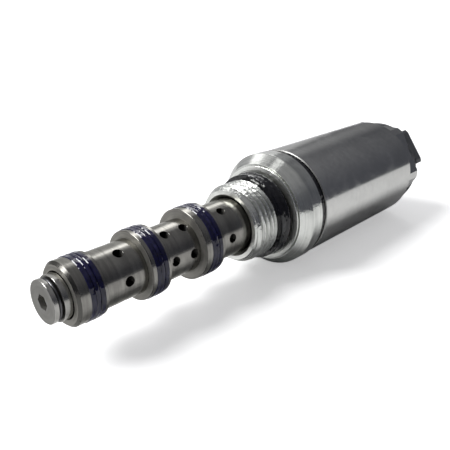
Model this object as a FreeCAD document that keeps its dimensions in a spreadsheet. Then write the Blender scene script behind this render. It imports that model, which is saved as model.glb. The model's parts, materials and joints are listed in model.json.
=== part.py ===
import FreeCAD, Part
import math
import os

import Sketcher

# Solenoid operated hydraulic cartridge valve.
# X runs along the valve axis from the nose to the connector, +Z is up, and the origin is on the
# axis at the flange face that seats on the block. Lengths are in millimetres.

os.makedirs("parts", exist_ok=True)
doc = FreeCAD.newDocument("cartridge_valve")

DIMENSIONS = [
    # nose plug with its locking wire
    ("nose_face_x", -83.8),
    ("plug_r", 5.9),
    ("plug_head_r", 6.1),
    ("plug_collar_r", 6.5),
    ("plug_head_length", 1.3),
    ("plug_groove_length", 1.3),
    ("plug_groove_r", 5.0),
    ("plug_end_x", -73.0),
    ("plug_socket_flats", 4.0),
    ("plug_socket_depth", 2.2),
    ("plug_orifice_r", 0.6),
    ("plug_edge", 0.15),
    ("wire_r", 0.45),
    ("wire_ring_r", 5.5),
    # sleeve outside
    ("sleeve_front_x", -78.9),
    ("sleeve_mouth_r", 6.7),
    ("sleeve_mouth_depth", 3.0),
    ("sleeve_rim", 0.8),
    ("front_land_r", 9.2),
    ("front_seal_x", -75.3),
    ("front_neck_r", 8.3),
    ("middle_land_x", -56.3),
    ("middle_land_r", 10.5),
    ("middle_seal_x", -55.0),
    ("middle_neck_r", 8.5),
    ("rear_land_x", -36.5),
    ("rear_land_r", 11.4),
    ("rear_seal_x", -34.2),
    ("rear_neck_r", 9.4),
    ("seal_strip", 0.9),
    ("land_edge", 0.12),
    ("sleeve_end_x", -2.0),
    # sleeve inside
    ("plug_bore_end_x", -72.5),
    ("spool_bore_r", 5.0),
    ("chamber_r", 6.2),
    ("chamber_length", 4.0),
    # radial ports, six to a row
    ("port_r", 1.5),
    ("port_edge", 0.05),
    ("port_clock", 25.5),
    ("front_port_x", -62.6),
    ("middle_port_x", -46.3),
    ("middle_second_port_x", -39.1),
    ("rear_port_x", -23.45),
    # one O-ring between two backup rings on each land
    ("seal_depth", 1.75),
    ("seal_wire_r", 1.0),
    ("backup_width", 1.2),
    ("backup_lip", 0.25),
    ("backup_height", 1.95),
    ("backup_edge", 0.2),
    # spool
    ("spool_r", 4.97),
    ("spool_front_x", -69.0),
    ("spool_end_x", -8.0),
    ("spool_waist_r", 3.4),
    ("supply_waist_x", -59.5),
    ("supply_waist_end_x", -36.0),
    ("tank_waist_x", -27.0),
    ("tank_waist_end_x", -18.0),
    ("spool_pocket_r", 3.5),
    ("spool_pocket_end_x", -61.0),
    ("spool_core_r", 1.5),
    ("spool_core_end_x", -21.5),
    ("spool_hole_r", 0.75),
    ("spool_hole_edge", 0.15),
    ("spool_hole_clock", 45.0),
    ("spool_front_hole_x", -62.9),
    ("spool_rear_hole_x", -23.5),
    ("oil_groove_offset", 1.6),
    ("oil_groove_depth", 0.3),
    ("oil_groove_width", 0.5),
    ("oil_groove_pitch", 2.2),
    # return spring
    ("spring_wire_r", 0.4),
    ("spring_mean_r", 2.7),
    ("spring_turns", 6.0),
    # threaded body with its seating flange
    ("body_front_x", -15.8),
    ("body_front_r", 12.0),
    ("body_mouth_r", 9.7),
    ("body_mouth_end_x", -9.0),
    ("body_mouth_edge", 1.0),
    ("thread_r", 13.5),
    ("thread_pitch", 2.0),
    ("thread_run_in", 0.4),
    ("thread_run_out", 1.0),
    ("thread_chamfer_end_x", -13.3),
    ("thread_end_x", -5.9),
    ("gland_x", -5.4),
    ("gland_r", 11.7),
    ("gland_end_x", 0.2),
    ("seat_inner_r", 15.3),
    ("seat_inner_edge", 0.15),
    ("oil_chamber_r", 7.0),
    ("pole_seat_x", 3.0),
    ("seat_r", 17.0),
    ("seat_edge", 0.2),
    ("seat_rim_end_x", 0.6),
    ("relief_r", 16.7),
    ("cone_x", 0.9),
    ("cone_front_r", 17.4),
    ("cone_end_x", 4.7),
    ("flange_r", 20.3),
    ("flange_end_x", 10.0),
    ("flange_edge", 0.2),
    ("spigot_end_x", 22.0),
    # block seal on the body
    ("body_o_ring_wire_r", 1.7),
    ("body_backup_width", 2.0),
    ("body_backup_r", 14.9),
    # housing
    ("housing_front_x", 12.7),
    ("housing_end_x", 81.4),
    ("housing_r", 20.0),
    ("housing_bore_r", 16.5),
    ("housing_edge", 0.3),
    ("hex_start_x", 74.7),
    ("hex_flats", 36.0),
    ("gap_ring_r", 19.5),
    ("gap_ring_edge", 0.4),
    # magnet parts
    ("pole_r", 11.0),
    ("pole_neck_r", 9.0),
    ("pole_stub_x", 40.0),
    ("pole_stub_r", 8.0),
    ("pole_end_x", 43.0),
    ("pole_groove_x", 12.0),
    ("pole_groove_length", 2.4),
    ("pole_groove_r", 9.4),
    ("pole_pin_bore_r", 2.0),
    ("bush_bore_r", 1.54),
    ("bush_r", 3.0),
    ("bush_end_x", 10.0),
    ("pin_r", 1.5),
    ("pin_front_x", -7.9),
    ("pin_end_x", 54.0),
    ("pin_edge", 0.3),
    ("washer_thickness", 0.3),
    ("washer_r", 7.0),
    ("armature_front_x", 46.4),
    ("armature_end_x", 66.4),
    ("armature_r", 8.0),
    ("armature_edge", 0.5),
    ("armature_hole_r", 0.9),
    ("armature_hole_pitch_r", 5.2),
    ("tube_bore_r", 8.05),
    ("tube_r", 9.0),
    ("tube_end_x", 71.0),
    ("tube_plug_x", 67.0),
    ("bobbin_x", 22.3),
    ("bobbin_end_x", 68.0),
    ("bobbin_bore_r", 9.1),
    ("bobbin_core_r", 10.2),
    ("bobbin_flange_r", 16.3),
    ("bobbin_flange_width", 1.6),
    ("winding_r", 15.6),
    ("yoke_x", 68.3),
    ("yoke_end_x", 73.3),
    # connector
    ("plug_in_x", 73.6),
    ("plug_in_r", 16.4),
    ("plug_in_groove_x", 76.6),
    ("plug_in_groove_length", 1.9),
    ("plug_in_groove_r", 15.1),
    ("collar_r", 18.3),
    ("collar_end_x", 83.4),
    ("connector_end_x", 88.2),
    ("connector_r", 18.7),
    ("connector_length", 35.2),
    ("connector_width", 15.4),
    ("connector_clock", 54.0),
    ("connector_edge", 0.8),
    ("socket_length", 18.0),
    ("socket_width", 8.4),
    ("socket_floor_x", 76.2),
    ("blade_length", 9.6),
    ("blade_width", 2.8),
    ("blade_thickness", 0.8),
    ("blade_spacing", 5.0),
    # how far a cutting outline reaches past the surface that it cuts
    ("overrun", 1.0),
]

PORTS_IN_ROW = 6
SPOOL_HOLES_IN_ROW = 4
OIL_GROOVES_ON_LAND = 3
SPANNER_FLATS = 6
OPPOSITE_SIDES = 2
FULL_TURN = 360.0
QUARTER_TURN = 90.0
# ISO metric thread form: groove depth and root flat as shares of the pitch, and half the flank angle
THREAD_DEPTH_SHARE = 0.6134
THREAD_ROOT_SHARE = 1 / 8
THREAD_FLANK_DEGREES = 30
# how far the thread cutter reaches past the crests, as a share of the pitch
THREAD_CUTTER_SHARE = 1 / 20
SAME_PLACE = 0.01


class Size:
    """A dimension that carries its value and the sheet expression that gives it."""

    def __init__(self, value, text):
        self.value = value
        self.text = text

    def __add__(self, other):
        other = as_size(other)
        return Size(self.value + other.value, "(%s + %s)" % (self.text, other.text))

    def __sub__(self, other):
        other = as_size(other)
        return Size(self.value - other.value, "(%s - %s)" % (self.text, other.text))

    def __mul__(self, other):
        other = as_size(other)
        return Size(self.value * other.value, "(%s * %s)" % (self.text, other.text))

    def __truediv__(self, other):
        other = as_size(other)
        return Size(self.value / other.value, "(%s / %s)" % (self.text, other.text))


def as_size(value):
    """Returns a plain number as a Size, and a Size as it is."""
    if isinstance(value, Size):
        return value
    return Size(float(value), "(%.6f)" % value)


class Dimensions:
    """Named access to the dimensions in the spreadsheet."""


sheet = doc.addObject("Spreadsheet::Sheet", "Dims")
d = Dimensions()
for row, (name, value) in enumerate(DIMENSIONS, start=1):
    sheet.set("A%d" % row, name)
    sheet.set("B%d" % row, str(value))
    sheet.setAlias("B%d" % row, name)
    setattr(d, name, Size(value, "Dims." + name))
doc.recompute()

nodes = []


def vector(x, y, z):
    return FreeCAD.Vector(x, y, z)


def new_body(name):
    """Starts one piece; its label is the node and file name."""
    body = doc.addObject("PartDesign::Body", name)
    body.Label = name
    nodes.append(body)
    return body


def origin_item(body, role):
    """Finds an axis or plane of the body's own origin."""
    for item in body.Origin.OriginFeatures:
        if item.Role == role:
            return item
    raise ValueError(role)


def new_sketch(body, name, role, offset_x=None, clock=None):
    """Adds a sketch on one origin plane, shifted along the valve axis and turned about it where asked."""
    sketch = body.newObject("Sketcher::SketchObject", name)
    sketch.AttachmentSupport = [(origin_item(body, role), "")]
    sketch.MapMode = "FlatFace"
    along, valve_axis = ("z", vector(0, 0, 1)) if role == "YZ_Plane" else ("x", vector(1, 0, 0))
    if clock is not None:
        turn = FreeCAD.Rotation(valve_axis, clock.value)
        sketch.AttachmentOffset = FreeCAD.Placement(vector(0, 0, 0), turn)
        sketch.setExpression("AttachmentOffset.Rotation.Angle", clock.text)
    if offset_x is not None:
        sketch.setExpression("AttachmentOffset.Base." + along, offset_x.text)
    return sketch


def bind(sketch, constraint, dimension):
    """Adds one dimension constraint and ties it to the sheet."""
    index = sketch.addConstraint(constraint)
    sketch.setExpression("Constraints[%d]" % index, dimension.text)


def draw_outline(sketch, points):
    """Draws a closed outline through (across, up) points given as sizes."""
    points = [(as_size(across), as_size(up)) for across, up in points]
    corners = [vector(across.value, up.value, 0) for across, up in points]
    lines = []
    for start, end in zip(corners, corners[1:] + corners[:1]):
        lines.append(sketch.addGeometry(Part.LineSegment(start, end), False))
    for line, following in zip(lines, lines[1:] + lines[:1]):
        sketch.addConstraint(Sketcher.Constraint("Coincident", line, 2, following, 1))
    for line, (across, up) in zip(lines, points):
        if across.value == 0:
            sketch.addConstraint(Sketcher.Constraint("PointOnObject", line, 1, -2))
        else:
            bind(sketch, Sketcher.Constraint("DistanceX", -1, 1, line, 1, across.value), across)
        if up.value == 0:
            sketch.addConstraint(Sketcher.Constraint("PointOnObject", line, 1, -1))
        else:
            bind(sketch, Sketcher.Constraint("DistanceY", -1, 1, line, 1, up.value), up)


def draw_circle(sketch, across, up, radius):
    """Draws one circle at (across, up)."""
    across, up, radius = as_size(across), as_size(up), as_size(radius)
    centre = vector(across.value, up.value, 0)
    circle = sketch.addGeometry(Part.Circle(centre, vector(0, 0, 1), radius.value), False)
    bind(sketch, Sketcher.Constraint("Radius", circle, radius.value), radius)
    if across.value == 0:
        sketch.addConstraint(Sketcher.Constraint("PointOnObject", circle, 3, -2))
    else:
        bind(sketch, Sketcher.Constraint("DistanceX", -1, 1, circle, 3, across.value), across)
    if up.value == 0:
        sketch.addConstraint(Sketcher.Constraint("PointOnObject", circle, 3, -1))
    else:
        bind(sketch, Sketcher.Constraint("DistanceY", -1, 1, circle, 3, up.value), up)


def turn_about_axis(body, sketch, kind="PartDesign::Revolution"):
    """Turns a sketch one full revolution about the valve axis."""
    feature = body.newObject(kind, sketch.Name + "_turned")
    feature.Profile = sketch
    feature.ReferenceAxis = (sketch, ["H_Axis"])
    feature.Angle = FULL_TURN
    sketch.Visibility = False
    return feature


def turned_body(name, points):
    """Makes a turned piece from its half section of (x, r) points."""
    body = new_body(name)
    sketch = new_sketch(body, name + "_section", "XY_Plane")
    draw_outline(sketch, points)
    turn_about_axis(body, sketch)
    doc.recompute()
    return body


def ring_body(name, x, mean_r, wire_r):
    """Makes a round-wire ring around the valve axis."""
    body = new_body(name)
    sketch = new_sketch(body, name + "_section", "XY_Plane")
    draw_circle(sketch, x, mean_r, wire_r)
    turn_about_axis(body, sketch)
    doc.recompute()
    return body


def rim_names(body, rims):
    """Names the circular edges of the tip that lie at the given (x, r) places."""
    names = []
    for number, edge in enumerate(body.Tip.Shape.Edges, start=1):
        curve = edge.Curve
        if not isinstance(curve, Part.Circle):
            continue
        for x, radius in rims:
            same_x = abs(curve.Center.x - x.value) < SAME_PLACE
            same_r = abs(curve.Radius - radius.value) < SAME_PLACE
            if same_x and same_r and abs(curve.Axis.y) < SAME_PLACE and abs(curve.Axis.z) < SAME_PLACE:
                names.append("Edge%d" % number)
                break
    if not names:
        raise ValueError("no rim found on " + body.Label)
    return names


def end_edge_names(body, x):
    """Names the edges of the tip that lie in the end face at x."""
    names = []
    for number, edge in enumerate(body.Tip.Shape.Edges, start=1):
        box = edge.BoundBox
        if abs(box.XMin - x.value) < SAME_PLACE and abs(box.XMax - x.value) < SAME_PLACE:
            names.append("Edge%d" % number)
    return names


def dress(body, kind, amount, names):
    """Fillets or chamfers the named edges of the tip."""
    base = body.Tip
    feature = body.newObject("PartDesign::" + kind, body.Name + "_" + kind.lower())
    feature.Base = (base, names)
    feature.setExpression("Radius" if kind == "Fillet" else "Size", amount.text)
    doc.recompute()


def dress_rims(body, kind, amount, rims):
    """Fillets or chamfers the circular rims at the given (x, r) places."""
    rims = [(as_size(x), as_size(radius)) for x, radius in rims]
    dress(body, kind, amount, rim_names(body, rims))


def cut_through(body, sketch, length=None, reverse=False):
    """Cuts a sketch through the piece both ways, or to a length from its plane."""
    pocket = body.newObject("PartDesign::Pocket", sketch.Name + "_cut")
    pocket.Profile = sketch
    if length is None:
        pocket.Type = "ThroughAll"
        pocket.Midplane = True
    else:
        pocket.setExpression("Length", length.text)
        pocket.Reversed = reverse
    sketch.Visibility = False
    doc.recompute()
    return pocket


def pattern_about_axis(body, features, count):
    """Repeats features evenly around the valve axis."""
    pattern = body.newObject("PartDesign::PolarPattern", features[0].Name + "_around")
    pattern.Originals = features
    pattern.Axis = (origin_item(body, "X_Axis"), [""])
    pattern.Angle = FULL_TURN
    pattern.Occurrences = count
    body.Tip = pattern
    doc.recompute()


def cut_radial_holes(body, name, rows, hole_r, depth_from, outside, edge, count, clock):
    """Drills rows of radial holes, each with a 45 degree countersink as deep as its edge."""
    holes = []
    for number, (x, surface_r) in enumerate(rows, start=1):
        sketch = new_sketch(body, "%s_row_%d" % (name, number), "XZ_Plane", x, clock)
        cone_r = hole_r + edge * 2
        points = [
            (as_size(0), depth_from),
            (hole_r, depth_from),
            (hole_r, surface_r - edge),
            (cone_r, surface_r + edge),
            (cone_r, outside),
            (as_size(0), outside),
        ]
        draw_outline(sketch, points)
        groove = body.newObject("PartDesign::Groove", "%s_drill_%d" % (name, number))
        groove.Profile = sketch
        groove.ReferenceAxis = (sketch, ["V_Axis"])
        groove.Angle = FULL_TURN
        sketch.Visibility = False
        doc.recompute()
        holes.append(groove)
    pattern_about_axis(body, holes, count)


# ---------------------------------------------------------------- nose plug and locking wire
plug_head_end = d.nose_face_x + d.plug_head_length
plug_collar_x = plug_head_end + d.plug_groove_length
mouth_floor_x = d.sleeve_front_x + d.sleeve_mouth_depth

plug = turned_body("nose_plug", [
    (d.nose_face_x, d.plug_orifice_r),
    (d.nose_face_x, d.plug_head_r),
    (plug_head_end, d.plug_head_r),
    (plug_head_end, d.plug_groove_r),
    (plug_collar_x, d.plug_groove_r),
    (plug_collar_x, d.plug_collar_r),
    (mouth_floor_x, d.plug_collar_r),
    (mouth_floor_x, d.plug_r),
    (d.plug_end_x, d.plug_r),
    (d.plug_end_x, d.plug_orifice_r),
])
dress_rims(plug, "Chamfer", d.land_edge, [(d.nose_face_x, d.plug_head_r)])
dress_rims(plug, "Fillet", d.plug_edge, [
    (plug_head_end, d.plug_head_r),
    (plug_collar_x, d.plug_collar_r),
    (d.plug_end_x, d.plug_r),
])
socket = new_sketch(plug, "plug_socket", "YZ_Plane", d.nose_face_x)
corner_r = d.plug_socket_flats / math.sqrt(3)
half_corner = corner_r / 2
half_flats = d.plug_socket_flats / 2
draw_outline(socket, [
    (corner_r, as_size(0)),
    (half_corner, half_flats),
    (half_corner * -1, half_flats),
    (corner_r * -1, as_size(0)),
    (half_corner * -1, half_flats * -1),
    (half_corner, half_flats * -1),
])
cut_through(plug, socket, d.plug_socket_depth, True)

ring_body("plug_lock_wire", plug_head_end + d.plug_groove_length / 2, d.wire_ring_r, d.wire_r)

# ---------------------------------------------------------------- sleeve
seal_width = d.backup_width * 2 + d.seal_wire_r * 2
lands = [
    ("front", d.front_land_r, d.front_seal_x, d.front_neck_r),
    ("middle", d.middle_land_r, d.middle_seal_x, d.middle_neck_r),
    ("rear", d.rear_land_r, d.rear_seal_x, d.rear_neck_r),
]
land_fronts = {"middle": d.middle_land_x, "rear": d.rear_land_x}
ports = [
    (d.front_port_x, d.front_neck_r),
    (d.middle_port_x, d.middle_neck_r),
    (d.middle_second_port_x, d.middle_neck_r),
    (d.rear_port_x, d.rear_neck_r),
]

outside_points = [
    (d.sleeve_front_x, d.sleeve_mouth_r),
    (d.sleeve_front_x, d.front_land_r - d.sleeve_rim),
    (d.sleeve_front_x + d.sleeve_rim, d.front_land_r),
]
rims = []
neck_r = None
for place, land_r, seal_x, next_neck_r in lands:
    if neck_r is not None:
        front_x = land_fronts[place]
        outside_points.append((front_x, neck_r))
        outside_points.append((front_x, land_r))
        rims.append((front_x, land_r))
    seal_end_x = seal_x + seal_width
    strip_end_x = seal_end_x + d.seal_strip
    outside_points.append((seal_x, land_r))
    outside_points.append((seal_x, land_r - d.seal_depth))
    outside_points.append((seal_end_x, land_r - d.seal_depth))
    outside_points.append((seal_end_x, land_r))
    outside_points.append((strip_end_x, land_r))
    outside_points.append((strip_end_x, next_neck_r))
    rims.append((strip_end_x, land_r))
    neck_r = next_neck_r

inside_points = [
    (d.sleeve_end_x, d.rear_neck_r),
    (d.sleeve_end_x, d.spool_bore_r),
]
for x, neck_r in reversed(ports):
    inside_points.append((x + d.chamber_length / 2, d.spool_bore_r))
    inside_points.append((x + d.chamber_length / 2, d.chamber_r))
    inside_points.append((x - d.chamber_length / 2, d.chamber_r))
    inside_points.append((x - d.chamber_length / 2, d.spool_bore_r))
inside_points.append((d.plug_bore_end_x, d.spool_bore_r))
inside_points.append((d.plug_bore_end_x, d.plug_r))
inside_points.append((mouth_floor_x, d.plug_r))
inside_points.append((mouth_floor_x, d.sleeve_mouth_r))

sleeve = turned_body("sleeve", outside_points + inside_points)
dress_rims(sleeve, "Chamfer", d.land_edge, rims)
dress_rims(sleeve, "Chamfer", d.land_edge, [(d.sleeve_front_x, d.sleeve_mouth_r)])
cut_radial_holes(
    sleeve,
    "port",
    ports,
    d.port_r,
    d.spool_bore_r - d.overrun,
    d.rear_land_r + d.overrun,
    d.port_edge,
    PORTS_IN_ROW,
    d.port_clock,
)

# ---------------------------------------------------------------- seals on the sleeve


def flat_ring(name, x, end_x, floor_r, outer_r, edge):
    """Makes a flat ring with bevelled outer corners."""
    return turned_body(name, [
        (x, floor_r),
        (x, outer_r - edge),
        (x + edge, outer_r),
        (end_x - edge, outer_r),
        (end_x, outer_r - edge),
        (end_x, floor_r),
    ])


def hollow_side(ring, o_ring_x, mean_r, wire_r):
    """Hollows the side of a backup ring to the O-ring that rests in it."""
    sketch = new_sketch(ring, ring.Name + "_hollow", "XY_Plane")
    draw_circle(sketch, o_ring_x, mean_r, wire_r)
    turn_about_axis(ring, sketch, "PartDesign::Groove")
    doc.recompute()


for place, land_r, seal_x, next_neck_r in lands:
    floor_r = land_r - d.seal_depth
    backup_r = floor_r + d.backup_height
    ring_x = seal_x + seal_width / 2
    mean_r = floor_r + d.seal_wire_r
    backup_reach = d.backup_width + d.backup_lip
    ring_body(place + "_o_ring", ring_x, mean_r, d.seal_wire_r)
    sides = [
        ("nose", seal_x, seal_x + backup_reach),
        ("body", seal_x + seal_width - backup_reach, seal_x + seal_width),
    ]
    for side_name, x, end_x in sides:
        backup_name = "%s_backup_ring_%s_side" % (place, side_name)
        backup = flat_ring(backup_name, x, end_x, floor_r, backup_r, d.backup_edge)
        hollow_side(backup, ring_x, mean_r, d.seal_wire_r)

# ---------------------------------------------------------------- spool


def oil_grooves(land_x):
    """Lists the section points of the narrow balancing grooves on the spool land that starts at land_x."""
    points = []
    floor_r = d.spool_r - d.oil_groove_depth
    for number in range(OIL_GROOVES_ON_LAND):
        start = land_x + d.oil_groove_offset + d.oil_groove_pitch * number
        points.append((start, d.spool_r))
        points.append((start, floor_r))
        points.append((start + d.oil_groove_width, floor_r))
        points.append((start + d.oil_groove_width, d.spool_r))
    return points


spool = turned_body("spool", [
    (d.spool_front_x, d.spool_pocket_r),
    (d.spool_front_x, d.spool_r),
    (d.supply_waist_x, d.spool_r),
    (d.supply_waist_x, d.spool_waist_r),
    (d.supply_waist_end_x, d.spool_waist_r),
    (d.supply_waist_end_x, d.spool_r),
] + oil_grooves(d.supply_waist_end_x) + [
    (d.tank_waist_x, d.spool_r),
    (d.tank_waist_x, d.spool_waist_r),
    (d.tank_waist_end_x, d.spool_waist_r),
    (d.tank_waist_end_x, d.spool_r),
] + oil_grooves(d.tank_waist_end_x) + [
    (d.spool_end_x, d.spool_r),
    (d.spool_end_x, as_size(0)),
    (d.spool_core_end_x, as_size(0)),
    (d.spool_core_end_x, d.spool_core_r),
    (d.spool_pocket_end_x, d.spool_core_r),
    (d.spool_pocket_end_x, d.spool_pocket_r),
])
dress_rims(spool, "Chamfer", d.pin_edge, [(d.spool_front_x, d.spool_r), (d.spool_end_x, d.spool_r)])
spool_rows = [(d.spool_front_hole_x, d.spool_r), (d.spool_rear_hole_x, d.spool_waist_r)]
cut_radial_holes(
    spool,
    "cross_hole",
    spool_rows,
    d.spool_hole_r,
    as_size(0),
    d.spool_r + d.overrun,
    d.spool_hole_edge,
    SPOOL_HOLES_IN_ROW,
    d.spool_hole_clock,
)

# ---------------------------------------------------------------- return spring
spring_start = d.plug_end_x + d.spring_wire_r
spring_length = d.spool_pocket_end_x - d.plug_end_x - d.spring_wire_r * 2
coil = doc.addObject("Part::Helix", "spring_coil")
coil.setExpression("Height", spring_length.text)
coil.setExpression("Pitch", (spring_length / d.spring_turns).text)
coil.setExpression("Radius", d.spring_mean_r.text)
wire = doc.addObject("Part::Circle", "spring_wire")
wire.setExpression("Radius", d.spring_wire_r.text)
wire.Placement = FreeCAD.Placement(vector(0, 0, 0), FreeCAD.Rotation(vector(1, 0, 0), 90))
wire.setExpression("Placement.Base.x", d.spring_mean_r.text)
spring = doc.addObject("Part::Sweep", "return_spring")
spring.Sections = [wire]
spring.Spine = (coil, ["Edge1"])
spring.Solid = True
spring.Frenet = True
spring.Placement = FreeCAD.Placement(vector(0, 0, 0), FreeCAD.Rotation(vector(0, 1, 0), 90))
spring.setExpression("Placement.Base.x", spring_start.text)
spring.Label = "return_spring"
nodes.append(spring)
doc.recompute()

# ---------------------------------------------------------------- threaded body
body = turned_body("threaded_body", [
    (d.body_front_x, d.body_mouth_r),
    (d.body_front_x, d.body_front_r),
    (d.thread_chamfer_end_x, d.thread_r),
    (d.gland_x, d.thread_r),
    (d.gland_x, d.gland_r),
    (d.gland_end_x, d.gland_r),
    (d.gland_end_x, d.seat_inner_r),
    (as_size(0), d.seat_inner_r),
    (as_size(0), d.seat_r),
    (d.seat_rim_end_x, d.seat_r),
    (d.seat_rim_end_x, d.relief_r),
    (d.cone_x, d.relief_r),
    (d.cone_x, d.cone_front_r),
    (d.cone_end_x, d.flange_r),
    (d.flange_end_x, d.flange_r),
    (d.flange_end_x, d.housing_bore_r),
    (d.spigot_end_x, d.housing_bore_r),
    (d.spigot_end_x, d.pole_r),
    (d.pole_seat_x, d.pole_r),
    (d.pole_seat_x, d.oil_chamber_r),
    (d.sleeve_end_x, d.oil_chamber_r),
    (d.sleeve_end_x, d.rear_neck_r),
    (d.body_mouth_end_x, d.rear_neck_r),
    (d.body_mouth_end_x, d.body_mouth_r),
])
dress_rims(body, "Chamfer", d.body_mouth_edge, [(d.body_front_x, d.body_mouth_r)])
dress_rims(body, "Chamfer", d.seat_inner_edge, [(as_size(0), d.seat_inner_r)])
dress_rims(body, "Fillet", d.seat_edge, [(as_size(0), d.seat_r)])
dress_rims(body, "Fillet", d.flange_edge, [(d.cone_end_x, d.flange_r), (d.flange_end_x, d.flange_r)])
thread_section = new_sketch(body, "thread_groove", "XY_Plane")
thread_depth = d.thread_pitch * THREAD_DEPTH_SHARE
root_half = d.thread_pitch * (THREAD_ROOT_SHARE / 2)
cutter_overrun = d.thread_pitch * THREAD_CUTTER_SHARE
cutter_half = root_half + (thread_depth + cutter_overrun) * math.tan(math.radians(THREAD_FLANK_DEGREES))
thread_start = d.body_front_x - d.thread_run_in
draw_outline(thread_section, [
    (thread_start - root_half, d.thread_r - thread_depth),
    (thread_start + root_half, d.thread_r - thread_depth),
    (thread_start + cutter_half, d.thread_r + cutter_overrun),
    (thread_start - cutter_half, d.thread_r + cutter_overrun),
])
thread = body.newObject("PartDesign::SubtractiveHelix", "thread")
thread.Profile = thread_section
thread.ReferenceAxis = (thread_section, ["H_Axis"])
thread.Mode = 0
thread.setExpression("Pitch", d.thread_pitch.text)
thread.setExpression("Height", (d.thread_end_x - thread_start - d.thread_run_out).text)
thread_section.Visibility = False
doc.recompute()

body_backup_end = d.gland_x + d.body_backup_width
body_ring_x = body_backup_end + d.body_o_ring_wire_r
body_ring_r = d.gland_r + d.body_o_ring_wire_r
body_lip_end = body_backup_end + d.backup_lip
body_backup = flat_ring(
    "body_backup_ring",
    d.gland_x,
    body_lip_end,
    d.gland_r,
    d.body_backup_r,
    d.backup_edge,
)
hollow_side(body_backup, body_ring_x, body_ring_r, d.body_o_ring_wire_r)
ring_body("body_o_ring", body_ring_x, body_ring_r, d.body_o_ring_wire_r)

# ---------------------------------------------------------------- solenoid housing
flat_ring(
    "housing_seal_ring",
    d.flange_end_x,
    d.housing_front_x,
    d.housing_bore_r,
    d.gap_ring_r,
    d.gap_ring_edge,
)
housing = turned_body("solenoid_housing", [
    (d.housing_front_x, d.housing_bore_r),
    (d.housing_front_x, d.housing_r),
    (d.housing_end_x, d.housing_r),
    (d.housing_end_x, d.housing_bore_r),
])
dress_rims(housing, "Chamfer", d.housing_edge, [(d.housing_front_x, d.housing_r)])
flat = new_sketch(housing, "spanner_flat", "XZ_Plane")
draw_outline(flat, [
    (d.hex_start_x, d.hex_flats / 2),
    (d.housing_end_x + d.overrun, d.hex_flats / 2),
    (d.housing_end_x + d.overrun, d.housing_r + d.overrun),
    (d.hex_start_x, d.housing_r + d.overrun),
])
pattern_about_axis(housing, [cut_through(housing, flat)], SPANNER_FLATS)

# ---------------------------------------------------------------- magnet parts
turned_body("pole_piece", [
    (d.pole_seat_x, d.bush_r),
    (d.pole_seat_x, d.pole_r),
    (d.pole_groove_x, d.pole_r),
    (d.pole_groove_x, d.pole_groove_r),
    (d.pole_groove_x + d.pole_groove_length, d.pole_groove_r),
    (d.pole_groove_x + d.pole_groove_length, d.pole_r),
    (d.spigot_end_x, d.pole_r),
    (d.spigot_end_x, d.pole_neck_r),
    (d.pole_stub_x, d.pole_neck_r),
    (d.pole_stub_x, d.pole_stub_r),
    (d.pole_end_x, d.pole_stub_r),
    (d.pole_end_x, d.pole_pin_bore_r),
    (d.bush_end_x, d.pole_pin_bore_r),
    (d.bush_end_x, d.bush_r),
])
pole_ring_x = d.pole_groove_x + d.pole_groove_length / 2
pole_ring_r = (d.pole_r - d.pole_groove_r) / 2
ring_body("pole_o_ring", pole_ring_x, d.pole_groove_r + pole_ring_r, pole_ring_r)
turned_body("pin_bush", [
    (d.pole_seat_x, d.bush_bore_r),
    (d.pole_seat_x, d.bush_r),
    (d.bush_end_x, d.bush_r),
    (d.bush_end_x, d.bush_bore_r),
])
turned_body("push_pin", [
    (d.pin_front_x, as_size(0)),
    (d.pin_front_x, d.pin_r - d.pin_edge),
    (d.pin_front_x + d.pin_edge, d.pin_r),
    (d.pin_end_x, d.pin_r),
    (d.pin_end_x, as_size(0)),
])
turned_body("anti_stick_washer", [
    (d.pole_end_x, d.pole_pin_bore_r),
    (d.pole_end_x, d.washer_r),
    (d.pole_end_x + d.washer_thickness, d.washer_r),
    (d.pole_end_x + d.washer_thickness, d.pole_pin_bore_r),
])
armature = turned_body("armature", [
    (d.armature_front_x, d.pin_r),
    (d.armature_front_x, d.armature_r - d.armature_edge),
    (d.armature_front_x + d.armature_edge, d.armature_r),
    (d.armature_end_x - d.armature_edge, d.armature_r),
    (d.armature_end_x, d.armature_r - d.armature_edge),
    (d.armature_end_x, as_size(0)),
    (d.pin_end_x, as_size(0)),
    (d.pin_end_x, d.pin_r),
])
oil_hole = new_sketch(armature, "oil_hole", "YZ_Plane", d.armature_front_x)
draw_circle(oil_hole, as_size(0), d.armature_hole_pitch_r, d.armature_hole_r)
pattern_about_axis(armature, [cut_through(armature, oil_hole)], 2)
turned_body("brazing_ring", [
    (d.pole_stub_x, d.pole_stub_r),
    (d.pole_stub_x, d.tube_r),
    (d.pole_end_x, d.tube_r),
    (d.pole_end_x, d.pole_stub_r),
])
turned_body("armature_tube", [
    (d.pole_end_x, d.tube_bore_r),
    (d.pole_end_x, d.tube_r),
    (d.tube_end_x, d.tube_r),
    (d.tube_end_x, d.tube_bore_r),
])
turned_body("tube_end_plug", [
    (d.tube_plug_x, as_size(0)),
    (d.tube_plug_x, d.tube_bore_r),
    (d.tube_end_x, d.tube_bore_r),
    (d.tube_end_x, as_size(0)),
])
turned_body("coil_bobbin", [
    (d.bobbin_x, d.bobbin_bore_r),
    (d.bobbin_x, d.bobbin_flange_r),
    (d.bobbin_x + d.bobbin_flange_width, d.bobbin_flange_r),
    (d.bobbin_x + d.bobbin_flange_width, d.bobbin_core_r),
    (d.bobbin_end_x - d.bobbin_flange_width, d.bobbin_core_r),
    (d.bobbin_end_x - d.bobbin_flange_width, d.bobbin_flange_r),
    (d.bobbin_end_x, d.bobbin_flange_r),
    (d.bobbin_end_x, d.bobbin_bore_r),
])
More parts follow.
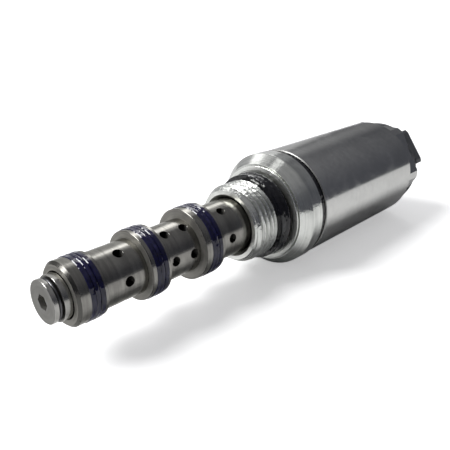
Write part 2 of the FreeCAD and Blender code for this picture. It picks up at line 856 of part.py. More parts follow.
turned_body("coil_winding", [
    (d.bobbin_x + d.bobbin_flange_width, d.bobbin_core_r),
    (d.bobbin_x + d.bobbin_flange_width, d.winding_r),
    (d.bobbin_end_x - d.bobbin_flange_width, d.winding_r),
    (d.bobbin_end_x - d.bobbin_flange_width, d.bobbin_core_r),
])
turned_body("rear_yoke_washer", [
    (d.yoke_x, d.bobbin_bore_r),
    (d.yoke_x, d.housing_bore_r),
    (d.yoke_end_x, d.housing_bore_r),
    (d.yoke_end_x, d.bobbin_bore_r),
])

# ---------------------------------------------------------------- connector
connector = turned_body("connector", [
    (d.plug_in_x, as_size(0)),
    (d.plug_in_x, d.plug_in_r),
    (d.plug_in_groove_x, d.plug_in_r),
    (d.plug_in_groove_x, d.plug_in_groove_r),
    (d.plug_in_groove_x + d.plug_in_groove_length, d.plug_in_groove_r),
    (d.plug_in_groove_x + d.plug_in_groove_length, d.plug_in_r),
    (d.housing_end_x, d.plug_in_r),
    (d.housing_end_x, d.collar_r),
    (d.collar_end_x, d.collar_r),
    (d.collar_end_x, d.connector_r),
    (d.connector_end_x, d.connector_r),
    (d.connector_end_x, as_size(0)),
])
side_cuts = []
trims = [
    ("connector_side", d.connector_width / 2, d.connector_clock + QUARTER_TURN),
    ("connector_tip", d.connector_length / 2, d.connector_clock),
]
for name, reach, clock in trims:
    trim = new_sketch(connector, name, "XZ_Plane", None, clock)
    draw_outline(trim, [
        (d.collar_end_x, reach),
        (d.connector_end_x + d.overrun, reach),
        (d.connector_end_x + d.overrun, d.connector_r + d.overrun),
        (d.collar_end_x, d.connector_r + d.overrun),
    ])
    side_cuts.append(cut_through(connector, trim))
pattern_about_axis(connector, side_cuts, OPPOSITE_SIDES)
dress(connector, "Fillet", d.connector_edge, end_edge_names(connector, d.connector_end_x))


def slot_outline(length, width):
    """Lists the corners of a slot centred on the axis, long along the sketch's vertical."""
    half_length = length / 2
    half_width = width / 2
    return [
        (half_width * -1, half_length * -1),
        (half_width, half_length * -1),
        (half_width, half_length),
        (half_width * -1, half_length),
    ]


mouth = new_sketch(connector, "socket", "YZ_Plane", d.connector_end_x, d.connector_clock)
draw_outline(mouth, slot_outline(d.socket_length, d.socket_width))
cut_through(connector, mouth, d.connector_end_x - d.socket_floor_x)

blade_offsets = [("terminal_blade_left", d.blade_spacing / -2), ("terminal_blade_right", d.blade_spacing / 2)]
for name, offset in blade_offsets:
    half_width = d.blade_width / 2
    half_thickness = d.blade_thickness / 2
    corners = [
        (half_thickness * -1, offset - half_width),
        (half_thickness, offset - half_width),
        (half_thickness, offset + half_width),
        (half_thickness * -1, offset + half_width),
    ]
    slot = new_sketch(connector, name + "_slot", "YZ_Plane", d.socket_floor_x, d.connector_clock)
    draw_outline(slot, corners)
    cut_through(connector, slot, d.socket_floor_x - d.plug_in_x)
    blade = new_body(name)
    section = new_sketch(blade, name + "_section", "YZ_Plane", d.plug_in_x, d.connector_clock)
    draw_outline(section, corners)
    pad = blade.newObject("PartDesign::Pad", name + "_pad")
    pad.Profile = section
    pad.setExpression("Length", d.blade_length.text)
    section.Visibility = False
    doc.recompute()

seal_r = (d.housing_bore_r - d.plug_in_groove_r) / 2
ring_body(
    "connector_o_ring",
    d.plug_in_groove_x + d.plug_in_groove_length / 2,
    d.plug_in_groove_r + seal_r,
    seal_r,
)

# ---------------------------------------------------------------- checks and export
doc.recompute()
for item in doc.Objects:
    if "Invalid" in item.State or "Error" in item.State:
        raise RuntimeError("%s did not rebuild: %s" % (item.Name, item.State))
for node in nodes:
    shape = node.Shape
    if shape.isNull() or not shape.isValid() or len(shape.Solids) != 1:
        raise RuntimeError(node.Label + " is not one sound solid")
    shape.exportStep(os.path.join("parts", node.Label + ".step"))
    box = shape.BoundBox
    reach = (shape.Volume, box.XMin, box.XMax, box.ZMax)
    print("%-34s volume %9.1f  x %7.2f to %7.2f  r %6.2f" % (node.Label, *reach))
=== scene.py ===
import json
import math

import bmesh
import bpy
from mathutils import Matrix, Vector


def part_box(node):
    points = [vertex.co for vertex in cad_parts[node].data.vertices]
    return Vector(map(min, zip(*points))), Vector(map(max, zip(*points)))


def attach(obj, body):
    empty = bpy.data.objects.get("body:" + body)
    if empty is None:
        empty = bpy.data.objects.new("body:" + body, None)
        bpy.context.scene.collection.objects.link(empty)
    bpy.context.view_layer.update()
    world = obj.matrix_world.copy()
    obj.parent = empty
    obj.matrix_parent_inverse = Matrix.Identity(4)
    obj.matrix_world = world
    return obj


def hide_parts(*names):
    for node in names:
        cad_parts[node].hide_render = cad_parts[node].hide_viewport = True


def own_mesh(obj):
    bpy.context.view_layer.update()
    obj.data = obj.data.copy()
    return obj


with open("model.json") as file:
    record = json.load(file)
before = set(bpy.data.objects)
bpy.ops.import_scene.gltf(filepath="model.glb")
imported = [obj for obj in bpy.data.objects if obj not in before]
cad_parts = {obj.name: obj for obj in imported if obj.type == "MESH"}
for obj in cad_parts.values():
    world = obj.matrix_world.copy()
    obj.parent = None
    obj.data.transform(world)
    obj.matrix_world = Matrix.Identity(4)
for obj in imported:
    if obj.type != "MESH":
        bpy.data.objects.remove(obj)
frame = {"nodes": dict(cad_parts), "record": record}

# Solenoid cartridge valve, lying on a pale table beside a tall window. Lengths are in metres.
# X runs along the valve axis from the nose to the connector, and +Z is up.
# Every CAD node keeps its mesh and gets a procedural material; only the return spring is replaced.

scene = bpy.context.scene
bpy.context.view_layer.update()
nose_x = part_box("nose_plug")[0].x
rest_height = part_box("threaded_body")[0].z


# ---------------------------------------------------------------- node graph helper
class Graph:
    """Builds shader nodes: each call adds one node and returns its result."""

    def __init__(self, tree):
        self.tree = tree

    def node(self, kind, inputs=None, **settings):
        node = self.tree.nodes.new("ShaderNode" + kind)
        for key, value in settings.items():
            setattr(node, key, value)
        for key, value in (inputs or {}).items():
            self.feed(node.inputs[key], value)
        return node

    def feed(self, socket, value):
        """Links an output, or sets a plain value."""
        if isinstance(value, bpy.types.NodeSocket):
            self.tree.links.new(value, socket)
        elif value is not None:
            socket.default_value = value

    def math(self, operation, first, second=None):
        return self.node("Math", {0: first, 1: second}, operation=operation).outputs[0]

    def vector(self, operation, first, second):
        """Combines two vectors, or scales the first by the second."""
        slot = "Scale" if operation == "SCALE" else 1
        node = self.node("VectorMath", {0: first, slot: second}, operation=operation)
        return node.outputs["Value" if operation == "DOT_PRODUCT" else "Vector"]

    def ramp(self, value, low, high, start=0.0, end=1.0):
        """Eases value from low..high to start..end and holds it outside."""
        inputs = {"Value": value, "From Min": low, "From Max": high, "To Min": start, "To Max": end}
        return self.node("MapRange", inputs, interpolation_type="SMOOTHSTEP").outputs["Result"]

    def window(self, value, low, high, soft):
        """Is 1 between low and high, with soft edges, and 0 outside."""
        rise = self.ramp(value, low - soft, low + soft)
        fall = self.ramp(value, high - soft, high + soft, 1.0, 0.0)
        return self.math("MULTIPLY", rise, fall)

    def mix(self, factor, first, second):
        """Blends two colours."""
        node = self.node("Mix", data_type="RGBA")
        for index, value in ((0, factor), (6, first), (7, second)):
            self.feed(node.inputs[index], value)
        return node.outputs[2]


def rgb(red, green, blue):
    return (red, green, blue, 1.0)


# ---------------------------------------------------------------- camera
# Its place is counted from the nose plug's face, and its lens and sensor are in millimetres.
CAMERA_FROM_NOSE = Vector((-0.05455, -0.11524, 0.07189))
CAMERA_RIGHT = Vector((0.68929, -0.72447, 0.0))
CAMERA_BACK = Vector((-0.66646, -0.63408, 0.3921))
SENSOR_WIDTH_MM = 36.0
LENS_MM = 43.81
CLIP_START = 0.01


def make_camera():
    """Looks at the valve from the nose end, a little above, on its near side."""
    data = bpy.data.cameras.new("front_camera")
    data.sensor_width = SENSOR_WIDTH_MM
    data.lens = LENS_MM
    data.clip_start = CLIP_START
    camera = bpy.data.objects.new("front_camera", data)
    scene.collection.objects.link(camera)
    back = CAMERA_BACK.normalized()
    up = back.cross(CAMERA_RIGHT).normalized()
    right = up.cross(back).normalized()
    turn = Matrix((right, up, back)).transposed().to_4x4()
    place = Vector((nose_x, 0.0, 0.0)) + CAMERA_FROM_NOSE
    camera.matrix_world = Matrix.Translation(place) @ turn
    scene.camera = camera


# ---------------------------------------------------------------- floor and light
FLOOR_REACH = 6.0
FLOOR_GAP = 0.00002
FLOOR_COLOUR = (0.86, 0.86, 0.86)
FLOOR_ROUGHNESS = 0.45
FLOOR_GLOW = 0.42


def make_floor():
    """A plain pale table under the valve. The camera alone sees its glow, which lightens the shadow."""
    height = rest_height - FLOOR_GAP
    corners = [(-1, -1), (1, -1), (1, 1), (-1, 1)]
    mesh = bpy.data.meshes.new("floor")
    mesh.from_pydata([(x * FLOOR_REACH, y * FLOOR_REACH, height) for x, y in corners], [], [(0, 1, 2, 3)])
    floor = bpy.data.objects.new("floor", mesh)
    scene.collection.objects.link(floor)
    pale = bpy.data.materials.new("pale_table")
    pale.use_nodes = True
    shader = pale.node_tree.nodes["Principled BSDF"]
    shader.inputs["Base Color"].default_value = rgb(*FLOOR_COLOUR)
    shader.inputs["Roughness"].default_value = FLOOR_ROUGHNESS
    shader.inputs["Emission Color"].default_value = rgb(1, 1, 1)
    graph = Graph(pale.node_tree)
    seen = graph.node("LightPath").outputs["Is Camera Ray"]
    graph.feed(shader.inputs["Emission Strength"], graph.math("MULTIPLY", seen, FLOOR_GLOW))
    mesh.materials.append(pale)


# The room's own radiance goes from one colour to the other between two elevations in degrees.
LOW_ROOM = (0.097, 0.100, 0.116)
HIGH_ROOM = (0.30, 0.30, 0.31)
LOW_ROOM_ENDS = 10.0
HIGH_ROOM_STARTS = 70.0
# name, radiance, azimuth range and elevation range in degrees, edge softness in degrees
WALLS = [
    ("window", 3.1, (38, 49), (22, 50), 4),
    ("window_sill", 0.75, (36, 66), (-6, 60), 3),
    ("curtain", 0.28, (22, 36), (-4, 40), 9),
    ("window_arch", 0.75, (22, 40), (42, 56), 5),
    ("side_wall", 0.45, (66, 150), (-6, 60), 5),
    ("side_window", 1.1, (76, 94), (28, 49), 4),
]
# name, radiance, azimuth, elevation, half angle and edge softness in degrees
SOFTBOXES = [
    ("key", 21.0, 145, 47, 13, 3),
    ("ceiling_lamp", 0.8, 125, 73, 7, 3),
]


def toward(azimuth, elevation):
    """Unit vector towards a place in the sky."""
    azimuth, elevation = math.radians(azimuth), math.radians(elevation)
    flat = math.cos(elevation)
    return Vector((flat * math.cos(azimuth), flat * math.sin(azimuth), math.sin(elevation)))


def make_light():
    """A dim room with a tall window, pale walls and a soft key light. The camera sees a white backdrop."""
    world = bpy.data.worlds.new("room")
    scene.world = world
    world.use_nodes = True
    graph = Graph(world.node_tree)
    direction = graph.node("TexCoord").outputs["Generated"]
    parts = graph.node("SeparateXYZ", {0: direction}).outputs
    azimuth = graph.math("DEGREES", graph.math("ARCTAN2", parts["Y"], parts["X"]))
    elevation = graph.math("DEGREES", graph.math("ARCSINE", parts["Z"]))
    height = graph.ramp(elevation, LOW_ROOM_ENDS, HIGH_ROOM_STARTS)
    light = graph.mix(height, rgb(*LOW_ROOM), rgb(*HIGH_ROOM))
    for _, radiance, sides, heights, soft in WALLS:
        across = graph.window(azimuth, sides[0], sides[1], soft)
        shape = graph.math("MULTIPLY", across, graph.window(elevation, heights[0], heights[1], soft))
        light = graph.vector("ADD", light, graph.vector("SCALE", (radiance,) * 3, shape))
    for _, radiance, azimuth_place, elevation_place, half_angle, soft in SOFTBOXES:
        cosine = graph.vector("DOT_PRODUCT", direction, toward(azimuth_place, elevation_place))
        wide = math.cos(math.radians(half_angle + soft))
        narrow = math.cos(math.radians(half_angle - soft))
        glow = graph.ramp(cosine, wide, narrow)
        light = graph.vector("ADD", light, graph.vector("SCALE", (radiance,) * 3, glow))
    lit = graph.tree.nodes["Background"]
    graph.feed(lit.inputs["Color"], light)
    plain = graph.node("Background", {"Color": rgb(1, 1, 1)})
    seen = graph.node("LightPath").outputs["Is Camera Ray"]
    mixed = graph.node("MixShader", {0: seen, 1: lit.outputs[0], 2: plain.outputs[0]})
    graph.feed(graph.tree.nodes["World Output"].inputs["Surface"], mixed.outputs[0])
    scene.view_settings.view_transform = "Standard"


make_camera()
make_floor()
make_light()


# ---------------------------------------------------------------- materials
MICRON = 1e-6
MILLIMETRE = 1e-3
# The thread lies between the nose and this place on the axis.
THREAD_END = -5.4 * MILLIMETRE
# Chamfers and rounded rims: how far their surface faces endwise, as a cosine.
BEVEL_FACING = (0.5, 0.85)
BEVEL_SOFT = 0.08
# Turned and polished metal
FINE_MARKS = 0.16 * MILLIMETRE
BROAD_MARKS = 0.9 * MILLIMETRE
STAIN_SIZE = 4 * MILLIMETRE
DIRT_SIZE = 1.6 * MILLIMETRE
DIRT_SHARE = 0.05
DIRT_COLOUR = (0.03, 0.028, 0.025)
SCRATCH_WIDTH = 0.5 * MILLIMETRE
DENT_SIZE = 2.2 * MILLIMETRE
DENT_PER_SCRATCH = 2.5
BRUISE_SIZE = 1.1 * MILLIMETRE
BRUISE_PER_SCRATCH = 6
# Chamfers of polished metal: their colour is scaled by the first number, painted shade that damps their
# glints, and their roughness raised by the second.
BEVEL_SHADE_TONE = 0.45
WORN_ROUGHER = 0.25
# Seals and their backup rings
LUMP_SIZE = 1.5 * MILLIMETRE
LUMP_DEPTH = 330 * MICRON
RING_DENT_SIZE = 1.7 * MILLIMETRE
RING_DENT_DEPTH = 300 * MICRON
DUST_SIZE = 0.8 * MILLIMETRE
DUST_SHARE = 0.06
DUST_COLOUR = (0.06, 0.06, 0.065)
SCARF_COLOUR = (0.001, 0.001, 0.001)
SCARF_DEPTH = 60 * MICRON
SCARF_SLANT = 90.0
# Coil winding
WIRE_PITCH = 0.4 * MILLIMETRE
WIRE_GROOVE = 120 * MICRON


def new_material(name):
    """Starts a material and returns it with its node graph and its main shader."""
    material = bpy.data.materials.new(name)
    material.use_nodes = True
    graph = Graph(material.node_tree)
    return material, graph, material.node_tree.nodes["Principled BSDF"]


class AxisPlace:
    """Where a point lies on a turned piece, and which way its surface faces."""

    def __init__(self, graph):
        self.graph = graph
        coordinates = graph.node("TexCoord").outputs
        self.point = coordinates["Object"]
        self.x, y, z = graph.node("SeparateXYZ", {0: self.point}).outputs
        square = graph.math("ADD", graph.math("MULTIPLY", y, y), graph.math("MULTIPLY", z, z))
        self.radius = graph.math("SQRT", square)
        self.side = graph.math("DIVIDE", y, self.radius)
        self.top = graph.math("DIVIDE", z, self.radius)
        normal_x, normal_y, normal_z = graph.node("SeparateXYZ", {0: coordinates["Normal"]}).outputs
        self.endwise = graph.math("ABSOLUTE", normal_x)
        across = graph.math("MULTIPLY", normal_y, self.side)
        self.outward = graph.math("ADD", across, graph.math("MULTIPLY", normal_z, self.top))

    def bevel(self):
        """Is 1 on chamfers and rounded rims, and 0 on sides and end faces."""
        return self.graph.window(self.endwise, *BEVEL_FACING, BEVEL_SOFT)

    def rings(self, period, streak=1.5):
        """Noise drawn out into rings round the axis, as a lathe tool leaves."""
        graph = self.graph
        across = graph.math("DIVIDE", graph.math("ADD", self.x, self.radius), period)
        side = graph.math("MULTIPLY", self.side, streak)
        top = graph.math("MULTIPLY", self.top, streak)
        place = graph.node("CombineXYZ", {"X": across, "Y": side, "Z": top}).outputs[0]
        return graph.node("TexNoise", {"Vector": place, "Scale": 1.0, "Detail": 3.0}).outputs[0]

    def cloud(self, size, detail=3.0, distortion=0.0):
        """Soft noise with patches of about the given size."""
        inputs = {"Vector": self.point, "Scale": 1.0 / size, "Detail": detail, "Distortion": distortion}
        return self.graph.node("TexNoise", inputs).outputs[0]

    def scratches(self, width):
        """Noise drawn out along the axis and a little round it, as handling marks."""
        graph = self.graph
        stretch = graph.vector("MULTIPLY", self.point, (0.12, 1.0, 1.0))
        return graph.node("TexNoise", {"Vector": stretch, "Scale": 1.0 / width, "Detail": 2.0}).outputs[0]

    def specks(self, size, density):
        """Is 1 in small scattered spots and 0 elsewhere."""
        graph = self.graph
        cells = graph.node("TexVoronoi", {"Vector": self.point, "Scale": 1.0 / size}).outputs
        picked = graph.math("LESS_THAN", graph.node("SeparateColor", {0: cells["Color"]}).outputs[0], density)
        near = graph.ramp(cells["Distance"], 0.12, 0.3, 1.0, 0.0)
        return graph.math("MULTIPLY", picked, near)


def bumped(graph, shader, layers):
    """Gives the shader a normal bumped by (height, depth in metres) layers."""
    normal = None
    for height, depth in layers:
        inputs = {"Strength": 1.0, "Distance": depth, "Height": height, "Normal": normal}
        normal = graph.node("Bump", inputs).outputs[0]
    graph.feed(shader.inputs["Normal"], normal)


def turned_metal(
    name, dark, light, edge_tint, roughness, face_roughness, mark_depth,
    painted_bore_tone=0.35, grime=0.5, scratch_depth=0.0, painted_face_shade=1.0, painted_bevel_shade=1.0
):
    """Lathe-turned metal: rings of tool marks, rougher end faces, faint stains and painted shade in the
    bores.

    The inner-wall, face and bevel tones scale the colour on inner walls, end faces and chamfers: painted
    shade below 1 and painted light above 1. Metal that has a scratch depth also gets dents, and bruises on
    its thread.
    """
    material, graph, shader = new_material(name)
    place = AxisPlace(graph)
    fine = place.rings(FINE_MARKS)
    broad = place.rings(BROAD_MARKS, 0.6)
    stain = place.cloud(STAIN_SIZE, 4.0, 0.6)
    face = graph.ramp(place.endwise, 0.75, 0.95)
    tone = graph.math("ADD", graph.math("MULTIPLY", broad, 0.6), graph.math("MULTIPLY", stain, 0.4))
    colour = graph.mix(graph.ramp(tone, 0.35, 0.65), rgb(*dark), rgb(*light))
    # End faces are painted darker by the face tone: painted shade.
    shaded_face_dark = tuple(channel * painted_face_shade for channel in dark)
    pale = tuple(channel * painted_face_shade for channel in light)
    faced = graph.mix(graph.ramp(tone, 0.35, 0.65), rgb(*shaded_face_dark), rgb(*pale))
    colour = graph.mix(face, colour, faced)
    # Chamfers are painted darker by the bevel tone: painted shade that damps their glints.
    if painted_bevel_shade < 1.0:
        shaded_bevel = tuple(channel * painted_bevel_shade for channel in dark)
        colour = graph.mix(place.bevel(), colour, rgb(*shaded_bevel))
    # Inner walls are painted darker by the inner-wall tone: painted shade in the bores, and painted light
    # where the tone is above 1.
    inward = graph.ramp(place.outward, 0.3, 0.85, 1.0, 0.0)
    hidden = graph.math("MULTIPLY", inward, graph.ramp(face, 0.0, 1.0, 1.0, 0.0))
    painted_bore_colour = tuple(channel * painted_bore_tone for channel in dark)
    colour = graph.mix(hidden, colour, rgb(*painted_bore_colour))
    dirt = graph.math("MULTIPLY", place.specks(DIRT_SIZE, DIRT_SHARE), grime)
    colour = graph.mix(dirt, colour, rgb(*DIRT_COLOUR))
    graph.feed(shader.inputs["Base Color"], colour)
    shader.inputs["Metallic"].default_value = 1.0
    shader.inputs["Specular Tint"].default_value = rgb(*edge_tint)
    polish = graph.ramp(graph.math("MAXIMUM", face, hidden), 0.0, 1.0, roughness, face_roughness)
    uneven = graph.math("SUBTRACT", graph.math("MULTIPLY", fine, stain), 0.25)
    wander = graph.math("MULTIPLY", uneven, roughness)
    graph.feed(shader.inputs["Roughness"], graph.math("ADD", polish, wander))
    layers = [(broad, mark_depth), (fine, mark_depth * 0.35)]
    if scratch_depth:
        layers.append((place.scratches(SCRATCH_WIDTH), scratch_depth))
        layers.append((place.cloud(DENT_SIZE), scratch_depth * DENT_PER_SCRATCH))
        bruises = place.cloud(BRUISE_SIZE, 1.0)
        threaded = graph.ramp(place.x, THREAD_END - MILLIMETRE, THREAD_END, 1.0, 0.0)
        layers.append((graph.math("MULTIPLY", bruises, threaded), scratch_depth * BRUISE_PER_SCRATCH))
    bumped(graph, shader, layers)
    return material


def polished_metal(name, dark, light, edge_tint, roughness):
    """Ground and plated shell: faint rings, cloudy plating, smudges from handling, and rougher bevels with
    painted shade.
    """
    material, graph, shader = new_material(name)
    place = AxisPlace(graph)
    grind = place.rings(0.25 * MILLIMETRE, 3.0)
    cloud = place.cloud(9 * MILLIMETRE, 5.0, 0.8)
    mottle = place.cloud(1.6 * MILLIMETRE, 2.0)
    smudge = graph.ramp(cloud, 0.45, 0.7)
    tone = graph.math("ADD", graph.math("MULTIPLY", cloud, 0.6), graph.math("MULTIPLY", mottle, 0.4))
    colour = graph.mix(graph.ramp(tone, 0.3, 0.7), rgb(*dark), rgb(*light))
    bevel = place.bevel()
    # Chamfers are painted darker: painted shade that damps their glints.
    shaded_bevel = tuple(channel * BEVEL_SHADE_TONE for channel in dark)
    graph.feed(shader.inputs["Base Color"], graph.mix(bevel, colour, rgb(*shaded_bevel)))
    shader.inputs["Metallic"].default_value = 1.0
    shader.inputs["Specular Tint"].default_value = rgb(*edge_tint)
    polish = graph.ramp(smudge, 0.0, 1.0, roughness, roughness * 1.7)
    polish = graph.math("ADD", polish, graph.math("MULTIPLY", bevel, WORN_ROUGHER))
    graph.feed(shader.inputs["Roughness"], graph.math("ADD", polish, graph.math("MULTIPLY", mottle, 0.03)))
    bumped(graph, shader, [(cloud, 14 * MICRON), (mottle, 1.2 * MICRON), (grind, 0.25 * MICRON)])
    return material


def rubber(name, colour, sheen_colour, roughness, gloss):
    """Moulded seal rubber with an oily, slightly lumpy skin and a little dust."""
    material, graph, shader = new_material(name)
    place = AxisPlace(graph)
    lumps = place.cloud(LUMP_SIZE, 0.5)
    grain = place.cloud(0.16 * MILLIMETRE, 2.0)
    patch = place.cloud(3.5 * MILLIMETRE, 3.0)
    tone = graph.mix(graph.ramp(patch, 0.35, 0.7), rgb(*colour), rgb(*sheen_colour))
    dust = graph.math("MULTIPLY", place.specks(DUST_SIZE, DUST_SHARE), 0.4)
    graph.feed(shader.inputs["Base Color"], graph.mix(dust, tone, rgb(*DUST_COLOUR)))
    shader.inputs["Specular IOR Level"].default_value = gloss
    wander = graph.math("MULTIPLY", patch, roughness)
    graph.feed(shader.inputs["Roughness"], graph.math("ADD", wander, roughness * 0.5))
    bumped(graph, shader, [(lumps, LUMP_DEPTH), (grain, 1.0 * MICRON)])
    return material


def backup_plastic(name, colour, light_colour, roughness, gloss):
    """Machined backup ring with fine turning rings and one slanting scarf cut."""
    material, graph, shader = new_material(name)
    place = AxisPlace(graph)
    rings = place.rings(0.2 * MILLIMETRE, 1.0)
    patch = place.cloud(2.5 * MILLIMETRE, 3.0)
    clock = graph.math("ARCTAN2", place.side, place.top)
    slant = graph.math("ADD", clock, graph.math("MULTIPLY", place.x, SCARF_SLANT))
    from_cut = graph.math("ABSOLUTE", graph.math("SINE", graph.math("MULTIPLY", slant, 0.5)))
    cut = graph.ramp(from_cut, 0.004, 0.008, 1.0, 0.0)
    tone = graph.mix(graph.ramp(patch, 0.3, 0.7), rgb(*colour), rgb(*light_colour))
    graph.feed(shader.inputs["Base Color"], graph.mix(cut, tone, rgb(*SCARF_COLOUR)))
    shader.inputs["Specular IOR Level"].default_value = gloss
    graph.feed(shader.inputs["Roughness"], graph.ramp(rings, 0.3, 0.7, roughness, roughness * 1.4))
    open_cut = graph.math("SUBTRACT", 1.0, cut)
    dents = place.cloud(RING_DENT_SIZE, 0.5)
    bumped(graph, shader, [(open_cut, SCARF_DEPTH), (dents, RING_DENT_DEPTH), (rings, 3 * MICRON)])
    return material


def moulded_nylon(name, colour, light_colour, roughness):
    """Glass-filled nylon: spark-eroded grain, flow marks and paler scuffs."""
    material, graph, shader = new_material(name)
    place = AxisPlace(graph)
    grain = place.cloud(0.22 * MILLIMETRE, 3.0)
    flow = place.cloud(3 * MILLIMETRE, 4.0, 1.2)
    scuff = graph.math("MULTIPLY", graph.ramp(flow, 0.58, 0.75), graph.ramp(grain, 0.45, 0.6))
    graph.feed(shader.inputs["Base Color"], graph.mix(scuff, rgb(*colour), rgb(*light_colour)))
    graph.feed(shader.inputs["Roughness"], graph.ramp(grain, 0.3, 0.7, roughness * 0.8, roughness * 1.2))
    bumped(graph, shader, [(grain, 9 * MICRON), (flow, 10 * MICRON)])
    return material


def enamelled_wire(name):
    """Close-wound copper wire under a clear amber enamel, with painted shade in the grooves between turns."""
    material, graph, shader = new_material(name)
    place = AxisPlace(graph)
    turn = graph.math("MULTIPLY", place.x, 2 * math.pi / WIRE_PITCH)
    crest = graph.ramp(graph.math("SINE", turn), -1.0, 1.0)
    patch = place.cloud(5 * MILLIMETRE)
    copper = graph.mix(patch, rgb(0.62, 0.24, 0.10), rgb(0.45, 0.13, 0.05))
    # The grooves between turns are painted dark brown: painted shade.
    graph.feed(shader.inputs["Base Color"], graph.mix(crest, rgb(0.10, 0.02, 0.01), copper))
    shader.inputs["Metallic"].default_value = 0.85
    graph.feed(shader.inputs["Roughness"], graph.ramp(crest, 0.0, 1.0, 0.5, 0.28))
    shader.inputs["Coat Weight"].default_value = 0.5
    shader.inputs["Coat Roughness"].default_value = 0.15
    bumped(graph, shader, [(crest, WIRE_GROOVE)])
    return material


SLOT_LOOKS = {
    # Ground steel: its inner walls and chamfers are painted darker, painted shade that damps glints in the
    # ports and on the edges.
    "ground_steel": turned_metal(
        "ground_steel", dark=(0.205, 0.200, 0.186), light=(0.290, 0.283, 0.262), edge_tint=(0.70, 0.70, 0.68),
        roughness=0.2, face_roughness=0.6, mark_depth=6 * MICRON, painted_bore_tone=0.12, painted_bevel_shade=0.5
    ),
    "spring_steel": turned_metal(
        "spring_steel", dark=(0.06, 0.06, 0.065), light=(0.12, 0.12, 0.125), edge_tint=(0.5, 0.5, 0.5),
        roughness=0.3, face_roughness=0.3, mark_depth=1 * MICRON
    ),
    "bright_plated_steel": turned_metal(
        "bright_plated_steel", dark=(0.54, 0.55, 0.525), light=(0.70, 0.71, 0.68),
        edge_tint=(0.75, 0.75, 0.75), roughness=0.13, face_roughness=0.36, mark_depth=6 * MICRON,
        painted_bore_tone=0.6, grime=0.2, scratch_depth=22 * MICRON
    ),
    "polished_nickel": polished_metal(
        "polished_nickel", dark=(0.56, 0.56, 0.545), light=(0.65, 0.65, 0.63), edge_tint=(0.55, 0.55, 0.55),
        roughness=0.11
    ),
    "magnet_steel": turned_metal(
        "magnet_steel", dark=(0.30, 0.30, 0.31), light=(0.42, 0.42, 0.43), edge_tint=(0.7, 0.7, 0.7),
        roughness=0.26, face_roughness=0.36, mark_depth=4 * MICRON
    ),
    "stainless_tube": turned_metal(
        "stainless_tube", dark=(0.46, 0.46, 0.45), light=(0.58, 0.58, 0.57), edge_tint=(0.8, 0.8, 0.8),
        roughness=0.2, face_roughness=0.3, mark_depth=3 * MICRON, painted_bore_tone=0.6
    ),
    "bronze": turned_metal(
        "bronze", dark=(0.42, 0.22, 0.09), light=(0.58, 0.33, 0.14), edge_tint=(0.9, 0.8, 0.6),
        roughness=0.26, face_roughness=0.34, mark_depth=4 * MICRON
    ),
    "brass": turned_metal(
        "brass", dark=(0.60, 0.42, 0.15), light=(0.76, 0.56, 0.24), edge_tint=(0.95, 0.9, 0.7),
        roughness=0.24, face_roughness=0.32, mark_depth=3 * MICRON
    ),
    "tinned_brass": polished_metal(
        "tinned_brass", dark=(0.60, 0.60, 0.57), light=(0.74, 0.73, 0.69), edge_tint=(0.8, 0.8, 0.8),
        roughness=0.24
    ),
    "navy_seal_rubber": rubber(
        "navy_seal_rubber", colour=(0.001, 0.001, 0.019), sheen_colour=(0.003, 0.003, 0.034),
        roughness=0.08, gloss=0.55
    ),
    "navy_backup_plastic": backup_plastic(
        "navy_backup_plastic", colour=(0.001, 0.001, 0.018), light_colour=(0.003, 0.003, 0.033),
        roughness=0.08, gloss=0.5
    ),
    "black_rubber": rubber(
        "black_rubber", colour=(0.0015, 0.0015, 0.003), sheen_colour=(0.003, 0.003, 0.005),
        roughness=0.08, gloss=0.5
    ),
    "black_backup_plastic": backup_plastic(
        "black_backup_plastic", colour=(0.0015, 0.0015, 0.003), light_colour=(0.003, 0.003, 0.005),
        roughness=0.08, gloss=0.45
    ),
    "black_connector_nylon": moulded_nylon(
        "black_connector_nylon", colour=(0.058, 0.059, 0.064), light_colour=(0.09, 0.091, 0.096),
        roughness=0.45
    ),
    "bobbin_nylon": moulded_nylon(
        "bobbin_nylon", colour=(0.55, 0.50, 0.38), light_colour=(0.66, 0.62, 0.50), roughness=0.5
    ),
    "copper_wire": enamelled_wire("copper_wire"),
}
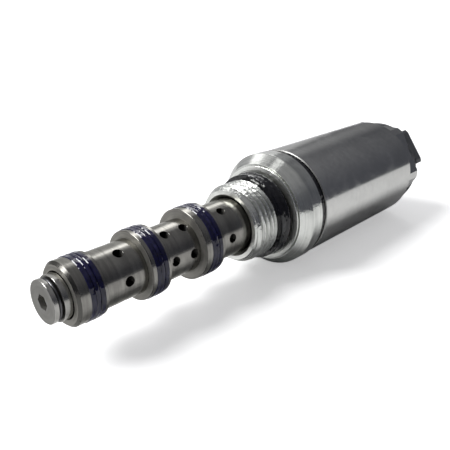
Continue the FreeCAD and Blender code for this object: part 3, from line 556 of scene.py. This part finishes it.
# Two nodes look different from the rest of their slot. The plug has painted shade on its end face and painted
# light in its socket, and the spool is painted nearly black as painted shade inside the ports.
NODE_LOOKS = {
    "nose_plug": turned_metal(
        "plug_steel_painted_shade_and_light", dark=(0.31, 0.305, 0.29), light=(0.40, 0.395, 0.375), edge_tint=(0.8, 0.8, 0.78),
        roughness=0.2, face_roughness=0.42, mark_depth=4 * MICRON, painted_bore_tone=1.2, painted_face_shade=0.49
    ),
    # The spool is painted nearly black: painted shade seen through the ports.
    "spool": turned_metal(
        "spool_steel_painted_shade", dark=(0.06, 0.058, 0.054), light=(0.09, 0.087, 0.08), edge_tint=(0.4, 0.4, 0.4),
        roughness=0.3, face_roughness=0.4, mark_depth=3 * MICRON
    ),
}
slots = {piece["node"]: piece["material_slot"] for piece in frame["record"]["subparts"]}
for name, node in frame["nodes"].items():
    node.data.materials.clear()
    node.data.materials.append(NODE_LOOKS.get(name) or SLOT_LOOKS[slots[name]])


# ---------------------------------------------------------------- return spring
SPRING_WIRE_RADIUS = 0.4 * MILLIMETRE
SPRING_TURNS = 6
STEPS_PER_TURN = 32
WIRE_SIDES = 14


def make_spring():
    """Coil between the plug and the spool, built to the return spring's box as one fixed mesh."""
    spring_low, spring_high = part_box("return_spring")
    reach = spring_high.y - SPRING_WIRE_RADIUS
    length = spring_high.x - spring_low.x
    advance = length - 2 * SPRING_WIRE_RADIUS
    steps = SPRING_TURNS * STEPS_PER_TURN
    tilt = math.atan2(advance / (SPRING_TURNS * 2 * math.pi), reach)
    coil = bmesh.new()
    rings = []
    for step in range(steps + 1):
        turn = 2 * math.pi * step / STEPS_PER_TURN
        outward = Vector((0.0, math.sin(turn), -math.cos(turn)))
        forward = Vector((0.0, math.cos(turn), math.sin(turn)))
        across = Vector((1.0, 0.0, 0.0)) * math.cos(tilt) - forward * math.sin(tilt)
        x = spring_low.x + SPRING_WIRE_RADIUS + advance * step / steps
        centre = Vector((x, 0.0, 0.0)) + outward * reach
        ring = []
        for side in range(WIRE_SIDES):
            angle = 2 * math.pi * side / WIRE_SIDES
            place = outward * math.cos(angle) + across * math.sin(angle)
            ring.append(coil.verts.new(centre + place * SPRING_WIRE_RADIUS))
        rings.append(ring)
    for first, second in zip(rings, rings[1:]):
        for side in range(WIRE_SIDES):
            after = (side + 1) % WIRE_SIDES
            coil.faces.new((first[side], first[after], second[after], second[side])).smooth = True
    coil.faces.new(rings[0])
    coil.faces.new(rings[-1])
    bmesh.ops.recalc_face_normals(coil, faces=coil.faces)
    mesh = bpy.data.meshes.new("return_spring_coil")
    coil.to_mesh(mesh)
    coil.free()
    mesh.materials.append(SLOT_LOOKS["spring_steel"])
    spring = bpy.data.objects.new("return_spring_coil", mesh)
    scene.collection.objects.link(spring)
    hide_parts("return_spring")
    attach(spring, "valve_body")
    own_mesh(spring)


make_spring()
